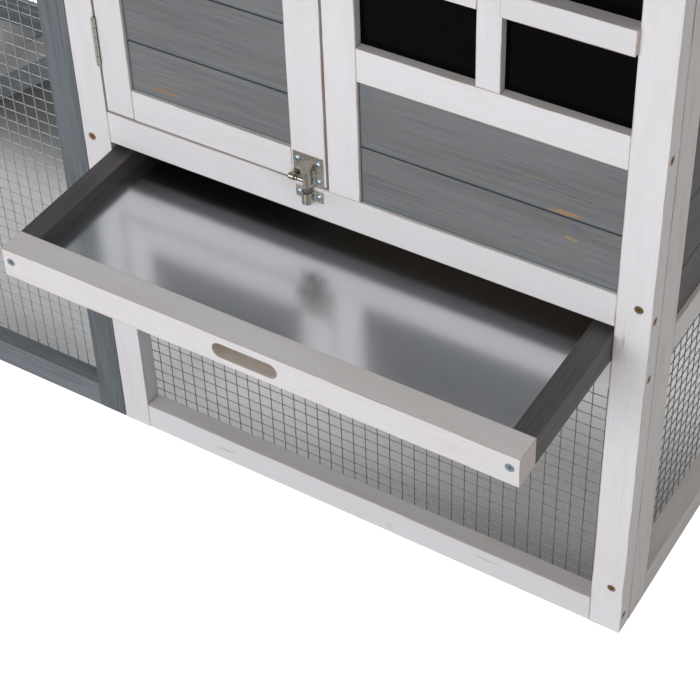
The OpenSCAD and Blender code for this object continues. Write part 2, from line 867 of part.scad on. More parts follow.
// ---- Run lid ----

module lid_stiles() {
    color(grey_stain) placed()
        for (x = [run_x0, lid_mid_x, lid_x1 - run_post_w])
            bar(x, x + run_post_w, rail_h, depth - rail_h, lid_z, lid_z + lid_t);
}

module lid_rails() {
    color(grey_stain) placed()
        for (y = [0, depth - rail_h]) bar(run_x0, lid_x1, y, y + rail_h, lid_z, lid_z + lid_t);
}

module lid_mesh() {
    margin = 13;
    color(zinc) placed() translate([run_x0 + margin, margin, lid_z + lid_t + wire_d * 2 + 0.15])
        rotate([-90, 0, 0])
        wire_panel(lid_x1 - run_x0 - 2 * margin, depth - 2 * margin);
}

module lid_hinge_leaves() {
    color(zinc) placed() at_lid_hinges() flat_hinge(1);
}

// ---- Roof ----

// Roof frame: origin on the front plane's top edge, +Y down the slope, +Z out of the roof
module on_roof() {
    translate([0, 0, front_h]) rotate([-roof_slope, 0, 0]) translate([0, 0, move_gap]) children();
}

module roof_boards() {
    plank = (roof_y1 - roof_y0) / 8;
    color(raw_wood) placed() on_roof()
        for (i = [0 : 7])
            bar(roof_x0, roof_x1, roof_y0 + i * plank + (i > 0 ? seam : 0), roof_y0 + (i + 1) * plank, 0, roof_t);
}

// Felt over the boards, turned down over their edges
module roof_felt() {
    turn_down = 7;
    color([0.2, 0.21, 0.22]) placed() on_roof() difference() {
        bar(roof_x0 - felt_t, roof_x1 + felt_t, roof_y0 - felt_t, roof_y1 + felt_t,
            roof_t - turn_down, roof_t + felt_t);
        bar(roof_x0, roof_x1, roof_y0, roof_y1, -1, roof_t);
    }
}

// White boards under the roof's front and side edges
module roof_trim() {
    color(white_paint) placed() on_roof() {
        bar(roof_x0, roof_x1, roof_y0, roof_y0 + trim_t, -trim_h, 0);
        for (x = [roof_x0, roof_x1 - trim_t])
            bar(x, x + trim_t, roof_y0 + trim_t + seam, roof_y1, -trim_h, 0);
    }
}

module roof_hinge_leaves() {
    color(zinc) placed() at_roof_hinges() rotate(90 - roof_slope) upper_leaf(leaf_w);
}

// ---- Fasteners and fixed hardware ----

module frame_screws() {
    color(brass) placed() {
        at_front_screws() wood_screw();
        at_side_screws() wood_screw();
    }
}

module fixed_hinge_leaves() {
    color(zinc) placed() {
        at_door_hinges() folded_hinge(0);
        at_run_door_hinges() folded_hinge(0);
        at_lid_hinges() flat_hinge(0);
        at_roof_hinges() flat_hinge(0);
        at_ramp_hinges() rotate(-90) mirror([0, 1, 0]) flat_hinge(0);
    }
}

module hinge_pins() {
    color(zinc) placed() {
        at_door_hinges() hinge_pin();
        at_run_door_hinges() hinge_pin();
        at_lid_hinges() hinge_pin();
        at_roof_hinges() hinge_pin();
        at_ramp_hinges() hinge_pin();
    }
}

// Where the two keepers stand, each with its channel along +Z
module at_keepers() {
    translate([bolt_x, bolt_y, keeper_z]) children();
    translate([run_keeper_x, bolt_y, run_door_bolt_z]) rotate([0, 90, 0]) children();
}

module bolt_keepers() {
    color(zinc) placed() at_keepers() strap(keeper_h, keeper_w / 2, keeper_w / 2);
}

module keeper_screws() {
    color(screw_zinc) placed() at_keepers()
        for (x = [-1, 1] * (keeper_w / 2 - 3.4))
            translate([x, -bolt_y - plate_t, keeper_h / 2]) rotate([90, 0, 0]) plate_screw();
}

front_post_left();
front_post_centre();
front_post_right();
front_rails();
front_header_rail();
window_sill();
window_bars();
window_pane();
window_boards();
front_mesh();
side_stiles();
side_rails();
right_boards();
right_mesh();
left_boards();
back_stiles();
back_rails();
back_boards();
back_mesh();
tray_runners();
door_stiles();
door_rails();
door_boards();
door_hinge_leaves();
door_bolt_guide();
door_bolt();
door_screws();
tray_front();
tray_sides();
tray_sheet();
tray_screws();
ramp_board();
ramp_rails();
ramp_cleats();
ramp_hinge_leaves();
run_posts();
run_rails();
run_front_mesh();
run_end_mesh();
run_back_mesh();
run_door_stiles();
run_door_rails();
run_door_mesh();
run_door_hinge_leaves();
run_door_bolt_guide();
run_door_bolt();
run_door_screws();
lid_stiles();
lid_rails();
lid_mesh();
lid_hinge_leaves();
roof_boards();
roof_felt();
roof_trim();
roof_hinge_leaves();
frame_screws();
fixed_hinge_leaves();
hinge_pins();
bolt_keepers();
keeper_screws();
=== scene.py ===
"""Looks for the rabbit hutch: wood, paint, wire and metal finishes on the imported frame, camera and light."""
import json
import math
import random

import bpy
from mathutils import Matrix, Vector


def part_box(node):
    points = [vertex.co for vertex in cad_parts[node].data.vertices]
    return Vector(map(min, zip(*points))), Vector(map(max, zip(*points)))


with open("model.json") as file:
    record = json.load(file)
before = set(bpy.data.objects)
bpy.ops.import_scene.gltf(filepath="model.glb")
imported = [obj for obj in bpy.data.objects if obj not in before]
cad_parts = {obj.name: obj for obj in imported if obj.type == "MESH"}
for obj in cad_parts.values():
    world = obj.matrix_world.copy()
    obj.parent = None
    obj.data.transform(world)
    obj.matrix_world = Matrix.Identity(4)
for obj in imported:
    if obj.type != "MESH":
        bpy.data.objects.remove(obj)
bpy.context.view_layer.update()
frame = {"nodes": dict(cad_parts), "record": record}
nodes = frame["nodes"]
slot_of = {s["node"]: s["material_slot"] for s in frame["record"]["subparts"]}

# The house's front left foot
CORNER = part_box("front_post_left")[0]


def house(x, y, z):
    """A place in millimetres from the house's front left foot, in the frame's metres."""
    return CORNER + Vector((x, y, z)) / 1000


def rgb(r, g, b):
    """A colour given as 0 to 255 on screen, as linear light."""
    return tuple(c / 255 / 12.92 if c <= 10 else ((c / 255 + 0.055) / 1.055) ** 2.4 for c in (r, g, b))


def darker(colour, share):
    return tuple(c * share for c in colour)


# ---------------------------------------------------------------- node graphs


class Graph:
    """A material's node tree, built by short calls."""

    def __init__(self, name):
        self.material = bpy.data.materials.new(name)
        self.material.use_nodes = True
        self.tree = self.material.node_tree
        self.tree.nodes.clear()

    def put(self, socket, value):
        if isinstance(value, bpy.types.NodeSocket):
            self.tree.links.new(value, socket)
        elif isinstance(value, (tuple, list)) and len(value) == 3 and socket.type == "RGBA":
            socket.default_value = (*value, 1)
        else:
            socket.default_value = value

    def add(self, kind, inputs=None, **props):
        node = self.tree.nodes.new(kind)
        for key, value in props.items():
            setattr(node, key, value)
        for key, value in (inputs or {}).items():
            self.put(node.inputs[key], value)
        return node

    def math(self, op, a, b=0.0, c=0.0, clamp=False):
        return self.add("ShaderNodeMath", {0: a, 1: b, 2: c}, operation=op, use_clamp=clamp).outputs[0]

    def plus(self, a, b):
        return self.math("ADD", a, b)

    def minus(self, a, b, clamp=False):
        return self.math("SUBTRACT", a, b, clamp=clamp)

    def times(self, a, b):
        return self.math("MULTIPLY", a, b)

    def squares(self, a, b):
        """The sum of two squares."""
        return self.plus(self.math("POWER", a, 2.0), self.math("POWER", b, 2.0))

    def vector(self, op, a, b):
        return self.add("ShaderNodeVectorMath", {0: a, 1: b}, operation=op).outputs[0]

    def scale(self, a, factors):
        return self.vector("MULTIPLY", a, factors)

    def mix(self, factor, a, b, blend="MIX"):
        node = self.add("ShaderNodeMix", data_type="RGBA", blend_type=blend)
        for index, value in ((0, factor), (6, a), (7, b)):
            self.put(node.inputs[index], value)
        return node.outputs[2]

    def step(self, value, low, high, to_low=0.0, to_high=1.0):
        """value from low..high to to_low..to_high, smoothed and held at both ends."""
        inputs = {0: value, 1: low, 2: high, 3: to_low, 4: to_high}
        return self.add("ShaderNodeMapRange", inputs, interpolation_type="SMOOTHSTEP").outputs[0]

    def noise(self, where, scale=1.0, detail=3.0, rough=0.55):
        inputs = {"Vector": where, "Scale": scale, "Detail": detail, "Roughness": rough}
        return self.add("ShaderNodeTexNoise", inputs).outputs["Fac"]

    def cells(self, where, scale=1.0):
        """A cell pattern's outputs: Distance from the nearest centre, and each cell's random Color."""
        return self.add("ShaderNodeTexVoronoi", {"Vector": where, "Scale": scale}).outputs

    def attribute(self, name):
        """A vector that mark_grain left on each vertex."""
        return self.add("ShaderNodeAttribute", attribute_name=name).outputs["Vector"]

    def place(self):
        """The point's place on the object, in metres."""
        return self.add("ShaderNodeTexCoord").outputs["Object"]

    def split(self, vector):
        return self.add("ShaderNodeSeparateXYZ", {0: vector}).outputs

    def join(self, x, y, z):
        return self.add("ShaderNodeCombineXYZ", {0: x, 1: y, 2: z}).outputs[0]

    def bump(self, height, distance, strength):
        inputs = {"Height": height, "Distance": distance, "Strength": strength}
        return self.add("ShaderNodeBump", inputs).outputs[0]

    def finish(self, **sockets):
        """Ends the tree in a Principled shader, with sockets named as in Blender but for spaces."""
        shader = self.add("ShaderNodeBsdfPrincipled")
        for key, value in sockets.items():
            self.put(shader.inputs[key.replace("_", " ")], value)
        out = self.add("ShaderNodeOutputMaterial")
        self.tree.links.new(shader.outputs[0], out.inputs[0])
        return self.material


# ---------------------------------------------------------------- wood

# How fine each pattern is in a stick: along the grain, then across it both ways, in features per metre
WANDER = (2.2, 14, 14)
KNOT_CELLS = (5.2, 13, 13)
RING_PATCHES = (5, 60, 60)
FIBRES = (11, 420, 420)
FINE_FIBRES = (34, 1700, 1700)
CLOUDS = (5, 30, 30)
MOTTLE = (16, 90, 90)
RAGGED_EDGE = (26, 900, 900)
WEAR_SPELLS = (9, 30, 30)
MARK_EDGE = (420, 420, 900)
RINGS_PER_METRE = 340.0
RING_UNEVENNESS = 2.4
SHUFFLE = 7.31
# Distances from a knot's centre, in its cell's widths, over which the knot and its halo fade out
KNOT_FADES = (0.045, 0.075)
HALO_FADES = (0.05, 0.3)
# Metres: how far the grain bends, rings part at a knot, paint rubs off the arrises, and fibres stand up
GRAIN_BEND = 0.02
KNOT_PARTS_RINGS = 0.004
RUBBED_REACH = 0.0011
GRAIN_RELIEF = 0.00035
# How bright a knot is beside the bare wood, and the painted shade at a board's ends beside that along its edge
DARK_KNOT = 0.32
DARK_END = 0.5


class Wood(Graph):
    """A wooden finish. The grain runs along each stick, from the attributes made by mark_grain."""

    def __init__(self, name, knots):
        super().__init__(name)
        spot = self.attribute("spot")
        draw = self.attribute("draw")
        self.grain = self.vector("ADD", spot, draw)
        halves = self.split(self.attribute("size"))
        self.end_gap, self.wide_gap, self.narrow_gap = (
            self.minus(half, self.math("ABSOLUTE", at)) for half, at in zip(halves, self.split(spot)))
        # A number from 0 to 1 for each stick
        self.chance = self.math("FRACT", self.times(self.split(draw)[0], SHUFFLE))

        wander = self.noise(self.scale(self.grain, WANDER), detail=2)
        bend = self.times(self.minus(wander, 0.5), GRAIN_BEND)
        along, across, through = self.split(self.grain)
        bent = self.join(along, self.plus(across, bend), self.plus(through, bend))
        self.knot, self.halo = self.knots(bent, knots)
        self.late = self.late_wood(bent)
        self.fibre = self.noise(self.scale(bent, FIBRES), detail=4, rough=0.65)
        self.fine = self.noise(self.scale(bent, FINE_FIBRES), detail=2, rough=0.6)
        self.cloud = self.noise(self.scale(self.grain, CLOUDS))

    def knots(self, bent, share):
        """Sparse knots, drawn out along the grain, and the halo where the fibres part round them."""
        cells = self.cells(self.scale(bent, KNOT_CELLS))
        allowed = self.step(self.split(cells["Color"])[0], 1.0 - share - 0.01, 1.0 - share)
        return [self.times(self.step(cells["Distance"], *fades, 1, 0), allowed)
                for fades in (KNOT_FADES, HALO_FADES)]

    def late_wood(self, bent):
        """The dark late wood of the year rings, which fades in patches."""
        _, across, through = self.split(bent)
        from_pith = self.math("SQRT", self.squares(across, through))
        from_pith = self.plus(from_pith, self.times(self.halo, KNOT_PARTS_RINGS))
        uneven = self.noise(self.join(from_pith, 0.0, 0.0), 140, 1)
        turn = self.math("MULTIPLY_ADD", uneven, RING_UNEVENNESS, self.times(from_pith, RINGS_PER_METRE))
        turn = self.math("FRACT", turn)
        late = self.times(self.step(turn, 0.35, 0.9), self.step(turn, 0.93, 1.0, 1, 0))
        return self.times(late, self.step(self.noise(self.scale(self.grain, RING_PATCHES)), 0.38, 0.66))

    def coat(self, paint, paint_shade, streak, blotch, edge):
        """The coat's colour, with its darker streaks and clouds, and painted shade along a board's edges and
        ends.
        """
        shade = self.step(self.plus(self.times(self.fibre, 0.6), self.times(self.cloud, 0.4)), 0.38, 0.66)
        coat = self.mix(self.times(shade, streak), paint, paint_shade)
        coat = self.mix(self.times(self.step(self.fine, 0.52, 0.75), streak * 0.35), coat, paint_shade)
        if blotch:
            stain, amount, fineness = blotch
            mottle = self.noise(self.scale(self.grain, MOTTLE), fineness, detail=5, rough=0.62)
            coat = self.mix(self.step(mottle, 0.46, 0.68, 0, amount), coat, stain)
        # Painted shade: the coat darkens along a board's narrow faces, and more at its ends, for the shadow in
        # the joints between boards and where boards meet the posts
        if edge:
            coat = self.mix(self.step(self.narrow_gap, 0.0006, 0.0022, 0.9, 0), coat, edge)
            coat = self.mix(self.step(self.end_gap, 0.0006, 0.0016, 0.9, 0), coat, darker(edge, DARK_END))
        return coat

    def bare(self, raw):
        """The bare wood's colour, with its year rings and fibres."""
        bare = self.mix(self.times(self.late, 0.65), raw, darker(raw, 0.58))
        return self.mix(self.step(self.fibre, 0.4, 0.7, 0, 0.35), bare, darker(raw, 0.7))

    def hidden(self, cover, ring_show, tint, raw_ends):
        """How much of the bare wood the coat hides."""
        thin = self.times(self.late, ring_show)
        thin = self.plus(thin, self.times(self.step(self.cloud, 0.5, 0.8), ring_show * 0.4))
        if tint:
            side = self.step(self.narrow_gap, 0.0002, 0.0012, 1.0, 0.25)
            thin = self.plus(thin, self.times(side, self.math("MULTIPLY_ADD", self.chance, tint, tint * 0.6)))
        hidden = self.minus(cover, thin, clamp=True)
        on_end = self.step(self.end_gap, 0.0001, 0.0004, 1, 0)
        return self.times(hidden, self.minus(1.0, self.times(on_end, raw_ends)))

    def unrubbed(self, wear, ragged):
        """The share of the coat that is left: less on the arrises, in ragged spells."""
        spell = self.noise(self.scale(self.grain, WEAR_SPELLS), detail=2)
        ragged_spell = self.plus(ragged, self.times(spell, 0.8))
        reach = self.times(self.step(ragged_spell, 0.74, 1.08), RUBBED_REACH * wear)
        low = self.math("MINIMUM", self.wide_gap, self.narrow_gap)
        high = self.math("MAXIMUM", self.wide_gap, self.narrow_gap)
        arris = self.math("MINIMUM", high, self.math("MAXIMUM", self.end_gap, low))
        gone = self.step(self.minus(arris, reach), -0.0005, 0.0002, 1, 0)
        return self.minus(1.0, self.times(gone, 0.8))

    def cut_open(self, colour, cuts, ragged):
        """Wood laid bare inside the holes cut through a stick."""
        inside = self.math("MINIMUM", self.end_gap, self.math("MINIMUM", self.wide_gap, self.narrow_gap))
        rubbed = self.mix(self.step(ragged, 0.4, 0.65, 0, 0.6), cuts, darker(cuts, 0.66))
        return self.mix(self.step(inside, 0.0008, 0.0011, 0, 0.93), colour, rubbed)

    def marked(self, colour, marks):
        """Small defects, each a ragged patch at its own place on the house."""
        where = self.place()
        for x, y, z, reach_x, reach_z, slope, shade in marks:
            dx, dy, dz = self.split(self.vector("SUBTRACT", where, tuple(house(x, y, z))))
            dz = self.math("MULTIPLY_ADD", dx, -slope, dz)
            far = self.squares(self.times(dx, 1000 / reach_x), self.times(dz, 1000 / reach_z))
            far = self.plus(far, self.math("ABSOLUTE", self.times(dy, 200.0)))
            ragged = self.noise(self.scale(where, MARK_EDGE))
            far = self.math("MULTIPLY_ADD", self.minus(ragged, 0.45), 5.0, far)
            colour = self.mix(self.step(far, 0.4, 1.5, 0.85, 0), colour, shade)
        return colour


def wood(name, paint, paint_shade, raw, cover, streak, ring_show, knots, raw_ends, rough=0.5, relief=1.0,
         wear=0.0, cuts=None, tint=0.0, blotch=None, marks=(), edge=None, dust_and_top_shade=None):
    """Painted or stained softwood.

    paint, paint_shade: the coat's colour and its darker streaks; raw: the wood below
    cover: how much of the wood the coat hides; streak, ring_show: how strongly fibres and year rings show
    knots: the share of places with a knot; raw_ends: how bare the sawn ends are; relief: depth of the grain
    wear: how far the coat is rubbed off the arrises; cuts: colour of the wood in holes cut through the stick
    tint: how much of the raw wood's colour comes through on narrow faces and from stick to stick
    blotch: a colour, how much of it clouds the coat, and how fine the clouds are
    edge: painted shade in the coat along a board's narrow faces, darker at its ends, for the joints between
    boards; dust: a colour patched onto level tops, partly dust, partly painted shade
    marks: small defects as (x, y, z, reach along X, reach along Z, slope, colour), in the house's millimetres
    """
    g = Wood(name, knots)
    coat = g.coat(paint, paint_shade, streak, blotch, edge)
    bare = g.bare(raw)
    hidden = g.hidden(cover, ring_show, tint, raw_ends)
    ragged = g.noise(g.scale(g.grain, RAGGED_EDGE), detail=4, rough=0.7) if wear or cuts else None
    if wear:
        hidden = g.times(hidden, g.unrubbed(wear, ragged))
    colour = g.mix(hidden, bare, coat)
    if cuts:
        colour = g.cut_open(colour, cuts, ragged)
    dark_knot = darker(raw, DARK_KNOT)
    colour = g.mix(g.times(g.knot, 1.0 - cover * 0.45), colour, dark_knot)
    colour = g.mix(g.times(g.halo, 0.12), colour, dark_knot)
    if marks:
        colour = g.marked(colour, marks)
    # Partly dust, partly painted shade: level tops take a darker, warmer colour in patches
    if dust_and_top_shade:
        up = g.split(g.add("ShaderNodeTexCoord").outputs["Normal"])[2]
        dust_and_shade_share = g.times(g.step(up, 0.8, 0.95), g.step(g.cloud, 0.3, 0.7, 0.3, 0.65))
        colour = g.mix(dust_and_shade_share, colour, dust_and_top_shade)
    tone = g.step(g.chance, 0.0, 1.0, 0.955, 1.04)
    colour = g.mix(1.0, colour, g.join(tone, tone, tone), "MULTIPLY")

    height = g.plus(g.times(g.fibre, 0.5), g.times(g.fine, 0.2))
    height = g.minus(height, g.times(g.late, 0.12))
    height = g.minus(height, g.times(g.knot, 0.3))
    gloss = g.plus(rough, g.times(g.minus(g.fibre, 0.5), 0.25))
    return g.finish(Base_Color=colour, Roughness=gloss, Normal=g.bump(height, GRAIN_RELIEF * relief, 0.8))


# ---------------------------------------------------------------- grain on the CAD's wooden pieces


SAME_PLANE = 0.98       # two faces whose normals agree by this much are one face
ALONG_FACE = 0.2        # an edge leaning out of a face by less than this lies along it
WELD_WITHIN = 1e-6      # metres
SHARP = math.radians(40)
BEVEL_STEPS = 2


def rounded(place):
    """A place to the nearest hundredth of a millimetre, to tell shared corners by."""
    return tuple(round(c * 1e5) for c in place)


def corners_of_solids(mesh):
    """Vertex numbers of each separate solid, joining vertices that share a place."""
    spots, owner = {}, list(range(len(mesh.vertices)))

    def root(i):
        while owner[i] != i:
            owner[i] = owner[owner[i]]
            i = owner[i]
        return i

    for v in mesh.vertices:
        owner[root(v.index)] = root(spots.setdefault(rounded(v.co), v.index))
    for face in mesh.polygons:
        first = root(face.vertices[0])
        for other in face.vertices[1:]:
            owner[root(other)] = first
    groups = {}
    for v in mesh.vertices:
        groups.setdefault(root(v.index), []).append(v.index)
    return sorted(groups.values(), key=min)


def real_edges(mesh, group_of):
    """Longest edge of each solid between faces that do not lie in one plane."""
    sides = {}
    for face in mesh.polygons:
        for a, b in face.edge_keys:
            key = frozenset(rounded(mesh.vertices[i].co) for i in (a, b))
            sides.setdefault(key, []).append((a, b, face.normal))
    longest = {}
    for found in sides.values():
        a, b, normal = found[0]
        if len(found) == 2 and normal.dot(found[1][2]) > SAME_PLANE:
            continue
        span = mesh.vertices[b].co - mesh.vertices[a].co
        n = group_of[a]
        if n not in longest or span.length > longest[n].length + 1e-6:
            longest[n] = span
    return longest


def widest_sides(mesh, group_of, longest):
    """The way each solid's widest side faces, of those that its longest edge lies along."""
    widest = {}
    for face in mesh.polygons:
        n = group_of[face.vertices[0]]
        if abs(face.normal.dot(longest[n].normalized())) < ALONG_FACE:
            key = tuple(round(abs(c), 2) for c in face.normal)
            total = widest.setdefault(n, {})
            area, _ = total.get(key, (0, None))
            total[key] = (area + face.area, face.normal.copy())
    return {n: max(total.values(), key=lambda item: item[0])[1] for n, total in widest.items()}


def mark_grain(obj):
    """Gives every solid its own grain: places within it along and across its longest edge, and an offset."""
    mesh = obj.data
    draw = random.Random(obj.name)
    groups = corners_of_solids(mesh)
    group_of = {i: n for n, group in enumerate(groups) for i in group}
    longest = real_edges(mesh, group_of)
    widest = widest_sides(mesh, group_of, longest)
    spot = mesh.attributes.new("spot", "FLOAT_VECTOR", "POINT")
    size = mesh.attributes.new("size", "FLOAT_VECTOR", "POINT")
    offset = mesh.attributes.new("draw", "FLOAT_VECTOR", "POINT")
    for n, group in enumerate(groups):
        run = longest[n].normalized()
        if max(run, key=abs) < 0:
            run = -run
        side = (widest[n] - run * widest[n].dot(run)).normalized()
        axes = (run, side, run.cross(side))
        spots = [mesh.vertices[i].co for i in group]
        spans = [[p.dot(axis) for p in spots] for axis in axes]
        centre = [(max(v) + min(v)) / 2 for v in spans]
        half = Vector([(max(v) - min(v)) / 2 for v in spans])
        side_step = draw.choice((-1, 1)) * draw.uniform(0.02, 0.07)
        off = Vector((draw.uniform(0, 40), side_step, draw.uniform(0.03, 0.09)))
        for k, i in enumerate(group):
            spot.data[i].vector = [spans[a][k] - centre[a] for a in range(3)]
            size.data[i].vector = half
            offset.data[i].vector = off


def soften(obj, width):
    """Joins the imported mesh's split corners, then rounds its arrises by width millimetres."""
    if "custom_normal" in obj.data.attributes:
        obj.data.attributes.remove(obj.data.attributes["custom_normal"])
    for face in obj.data.polygons:
        face.use_smooth = False
    weld = obj.modifiers.new("weld", "WELD")
    weld.merge_threshold = WELD_WITHIN
    bevel = obj.modifiers.new("arris", "BEVEL")
    bevel.width = width / 1000
    bevel.segments = BEVEL_STEPS
    bevel.limit_method = "ANGLE"
    bevel.angle_limit = SHARP


# ---------------------------------------------------------------- wooden finishes

# Small knots and nicks that show in the coat
GREY_MARKS = [
    (286, 3, 446.6, 0.9, 5, 0, rgb(146, 86, 58)),
    (455, 3, 438.7, 15, 2.4, 0.06, rgb(168, 134, 78)),
    (463.8, 3, 428.2, 3.4, 3.4, 0, rgb(92, 100, 116)),
    (460.9, 3, 416.6, 6, 1.8, -0.1, rgb(160, 136, 88)),
    (92, 3, 422.4, 15, 1.7, -0.06, rgb(158, 112, 64)),
    (287, 3, 487.3, 2.6, 3.4, 0, rgb(92, 112, 128)),
    (430, 3, 462, 9, 1.4, 0, rgb(128, 122, 104)),
]
WHITE_MARKS = [
    (300.6, 0, 8.7, 4.2, 4.2, 0, rgb(208, 200, 197)),
    (300.6, 0, 8.7, 2.2, 2.2, 0, rgb(228, 224, 224)),
    (120, 0, 14, 12, 1.4, 0.05, rgb(196, 184, 176)),
    (400, 0, 20, 16, 1.2, -0.03, rgb(198, 188, 180)),
    (372, 0, 494, 14, 3, 0, rgb(206, 196, 188)),
    (510, 0, 338, 1.2, 9, 0, rgb(196, 180, 168)),
]
WHITE_LOOK = {
    "raw": rgb(180, 148, 124), "cover": 0.99, "streak": 0.24, "ring_show": 0.05, "knots": 0.015,
    "relief": 1.2, "wear": 0.85, "raw_ends": 0.4, "cuts": rgb(216, 202, 188), "tint": 0.1,
    # The last colour patches level tops: partly dust, partly painted shade
    "marks": WHITE_MARKS, "dust_and_top_shade": (0.60, 0.565, 0.53),
}
GREY_LOOK = {"cover": 0.98, "knots": 0.05, "raw_ends": 0.3, "relief": 1.2}
RUN_LOOK = {"cover": 0.99, "streak": 0.85, "ring_show": 0.1, "knots": 0.04, "raw_ends": 0.3, "wear": 0.15}

WHITE = wood("white_paint", (0.765, 0.765, 0.80), (0.71, 0.695, 0.71),
             blotch=((0.71, 0.665, 0.65), 0.3, 1), **WHITE_LOOK)
# Painted shade: a darker, warmer copy of the white paint for the side walls' stiles and rails, which lie in
# shade
WHITE_SHADED_SIDE = wood("white_paint_side", (0.735, 0.70, 0.685), (0.63, 0.59, 0.575),
                  blotch=((0.58, 0.525, 0.49), 0.5, 1), **WHITE_LOOK)
GREY = wood("grey_paint", (0.188, 0.199, 0.214), (0.104, 0.109, 0.119), rgb(128, 100, 76),
            streak=0.68, ring_show=0.12, blotch=(rgb(120, 116, 106), 0.45, 1.8),
            # The edge colour is painted shade for the joints between the boards
            marks=GREY_MARKS, edge=rgb(70, 92, 106), **GREY_LOOK)
# Painted shade: a darker, browner copy of the grey paint for the side walls' boards, which lie in shade
GREY_SHADED_SIDE = wood("grey_paint_side", (0.108, 0.104, 0.103), (0.069, 0.067, 0.066), rgb(108, 88, 72),
                 streak=0.6, ring_show=0.14, blotch=(rgb(90, 83, 76), 0.4, 1.8), **GREY_LOOK)
RUN = wood("run_stain", (0.144, 0.168, 0.189), (0.072, 0.085, 0.097), rgb(110, 96, 84), **RUN_LOOK)
# Painted light: a lighter copy of the run's stain for the run's and the ramp's rails, as if more light fell on
# them
RUN_RAIL_PAINTED_LIGHT = wood("run_stain_rail", (0.19, 0.215, 0.24), (0.10, 0.115, 0.13), rgb(120, 108, 96), **RUN_LOOK)
TRAY = wood("tray_stain", (0.09, 0.09, 0.097), (0.045, 0.045, 0.05), rgb(128, 96, 72), 0.99,
            streak=0.85, ring_show=0.2, knots=0.05, raw_ends=0.5, wear=0.7)
RAMP = wood("ramp_wood", (0.42, 0.415, 0.40), (0.28, 0.275, 0.265), rgb(150, 138, 122), 0.9,
            streak=0.8, ring_show=0.2, knots=0.08, raw_ends=0.4, rough=0.55)
BARE = wood("bare_wood", rgb(170, 156, 136), rgb(146, 130, 110), rgb(172, 154, 128), 0.55,
            streak=0.6, ring_show=0.4, knots=0.1, raw_ends=0.3, rough=0.6)

# ---------------------------------------------------------------- metal, wire, pane, felt


def metal(name, colour, rough, spread, relief=0.5):
    """Bare metal: its roughness spread over patches, its surface faintly uneven."""
    g = Graph(name)
    where = g.place()
    wide_patches = g.noise(where, 60)
    small_patches = g.noise(where, 900, 2)
    gloss = g.plus(rough - spread / 2, g.times(wide_patches, spread))
    shade = g.mix(g.step(small_patches, 0.35, 0.7), colour, darker(colour, 0.86))
    normal = g.bump(small_patches, 0.00004, relief)
    return g.finish(Base_Color=shade, Metallic=1.0, Roughness=gloss, Normal=normal)


def sheet_metal():
    """Bright galvanised sheet: rolled lines and faint spangle, softly mirror-like."""
    g = Graph("tray_metal")
    where = g.place()
    rolled = g.noise(g.scale(where, (2, 90, 1)), detail=1)
    spangle = g.split(g.cells(g.scale(where, (1, 1, 0)), 110)["Color"])[0]
    haze = g.noise(where, 7)
    shade = g.mix(g.times(spangle, 0.12), (0.70, 0.722, 0.745), (0.63, 0.65, 0.67))
    shade = g.mix(g.step(haze, 0.35, 0.7, 0, 0.25), shade, (0.62, 0.637, 0.652))
    gloss = g.plus(g.step(haze, 0.3, 0.7, 0.16, 0.2), g.times(rolled, 0.03))
    return g.finish(Base_Color=shade, Metallic=1.0, Roughness=gloss)


def black_pane():
    """Glossy black sheet with a little dust."""
    g = Graph("black_acrylic")
    dust_and_top_shade = g.noise(g.place(), 220, 4)
    shade = g.mix(g.step(dust_and_top_shade, 0.55, 0.8, 0, 0.3), (0.0012, 0.0012, 0.0012), (0.003, 0.003, 0.0035))
    return g.finish(Base_Color=shade, Roughness=g.step(dust_and_top_shade, 0.4, 0.8, 0.1, 0.18), Specular_IOR_Level=0.05)


def roofing_felt():
    """Mineral felt: grit of many greys, in faint larger patches."""
    g = Graph("felt")
    where = g.place()
    grit = g.split(g.cells(where, 900)["Color"])[0]
    lumps = g.noise(where, 380, 4, 0.7)
    patch = g.noise(where, 9)
    shade = g.mix(grit, (0.05, 0.053, 0.056), (0.15, 0.155, 0.16))
    shade = g.mix(g.step(patch, 0.35, 0.7, 0, 0.35), shade, (0.07, 0.072, 0.075))
    height = g.plus(lumps, g.times(grit, 0.5))
    return g.finish(Base_Color=shade, Roughness=0.95, Normal=g.bump(height, 0.0006, 0.9))


# ---------------------------------------------------------------- finishes onto the CAD nodes

WOODS = {
    "white_paint": WHITE, "grey_paint": GREY, "run_stain": RUN,
    "tray_stain": TRAY, "ramp_wood": RAMP, "bare_wood": BARE,
}
OTHERS = {
    "galvanised_wire": metal("galvanised_wire", (0.54, 0.565, 0.585), 0.5, 0.1),
    "hinge_steel": metal("hinge_steel", (0.66, 0.64, 0.58), 0.3, 0.1),
    "nickel_bolt": metal("nickel_bolt", (0.60, 0.545, 0.485), 0.2, 0.12, 0.8),
    "zinc_screw": metal("zinc_screw", (0.42, 0.53, 0.61), 0.38, 0.08),
    "brass_screw": metal("brass_screw", (0.42, 0.28, 0.15), 0.4, 0.12),
    "tray_metal": sheet_metal(), "black_acrylic": black_pane(), "felt": roofing_felt(),
}
# Painted shade: a darker copy of the wire for the house's front and side mesh, which lie in shade
WIRE_IN_PAINTED_SHADE = metal("shaded_wire", (0.27, 0.285, 0.29), 0.5, 0.1)
# A darker steel for the bolts: partly their own metal, partly painted shade where they sit in their guides
BOLT_STEEL_AND_SHADE = metal("dull_bolt", (0.34, 0.31, 0.275), 0.16, 0.1, 0.8)
FINISH = WOODS | OTHERS

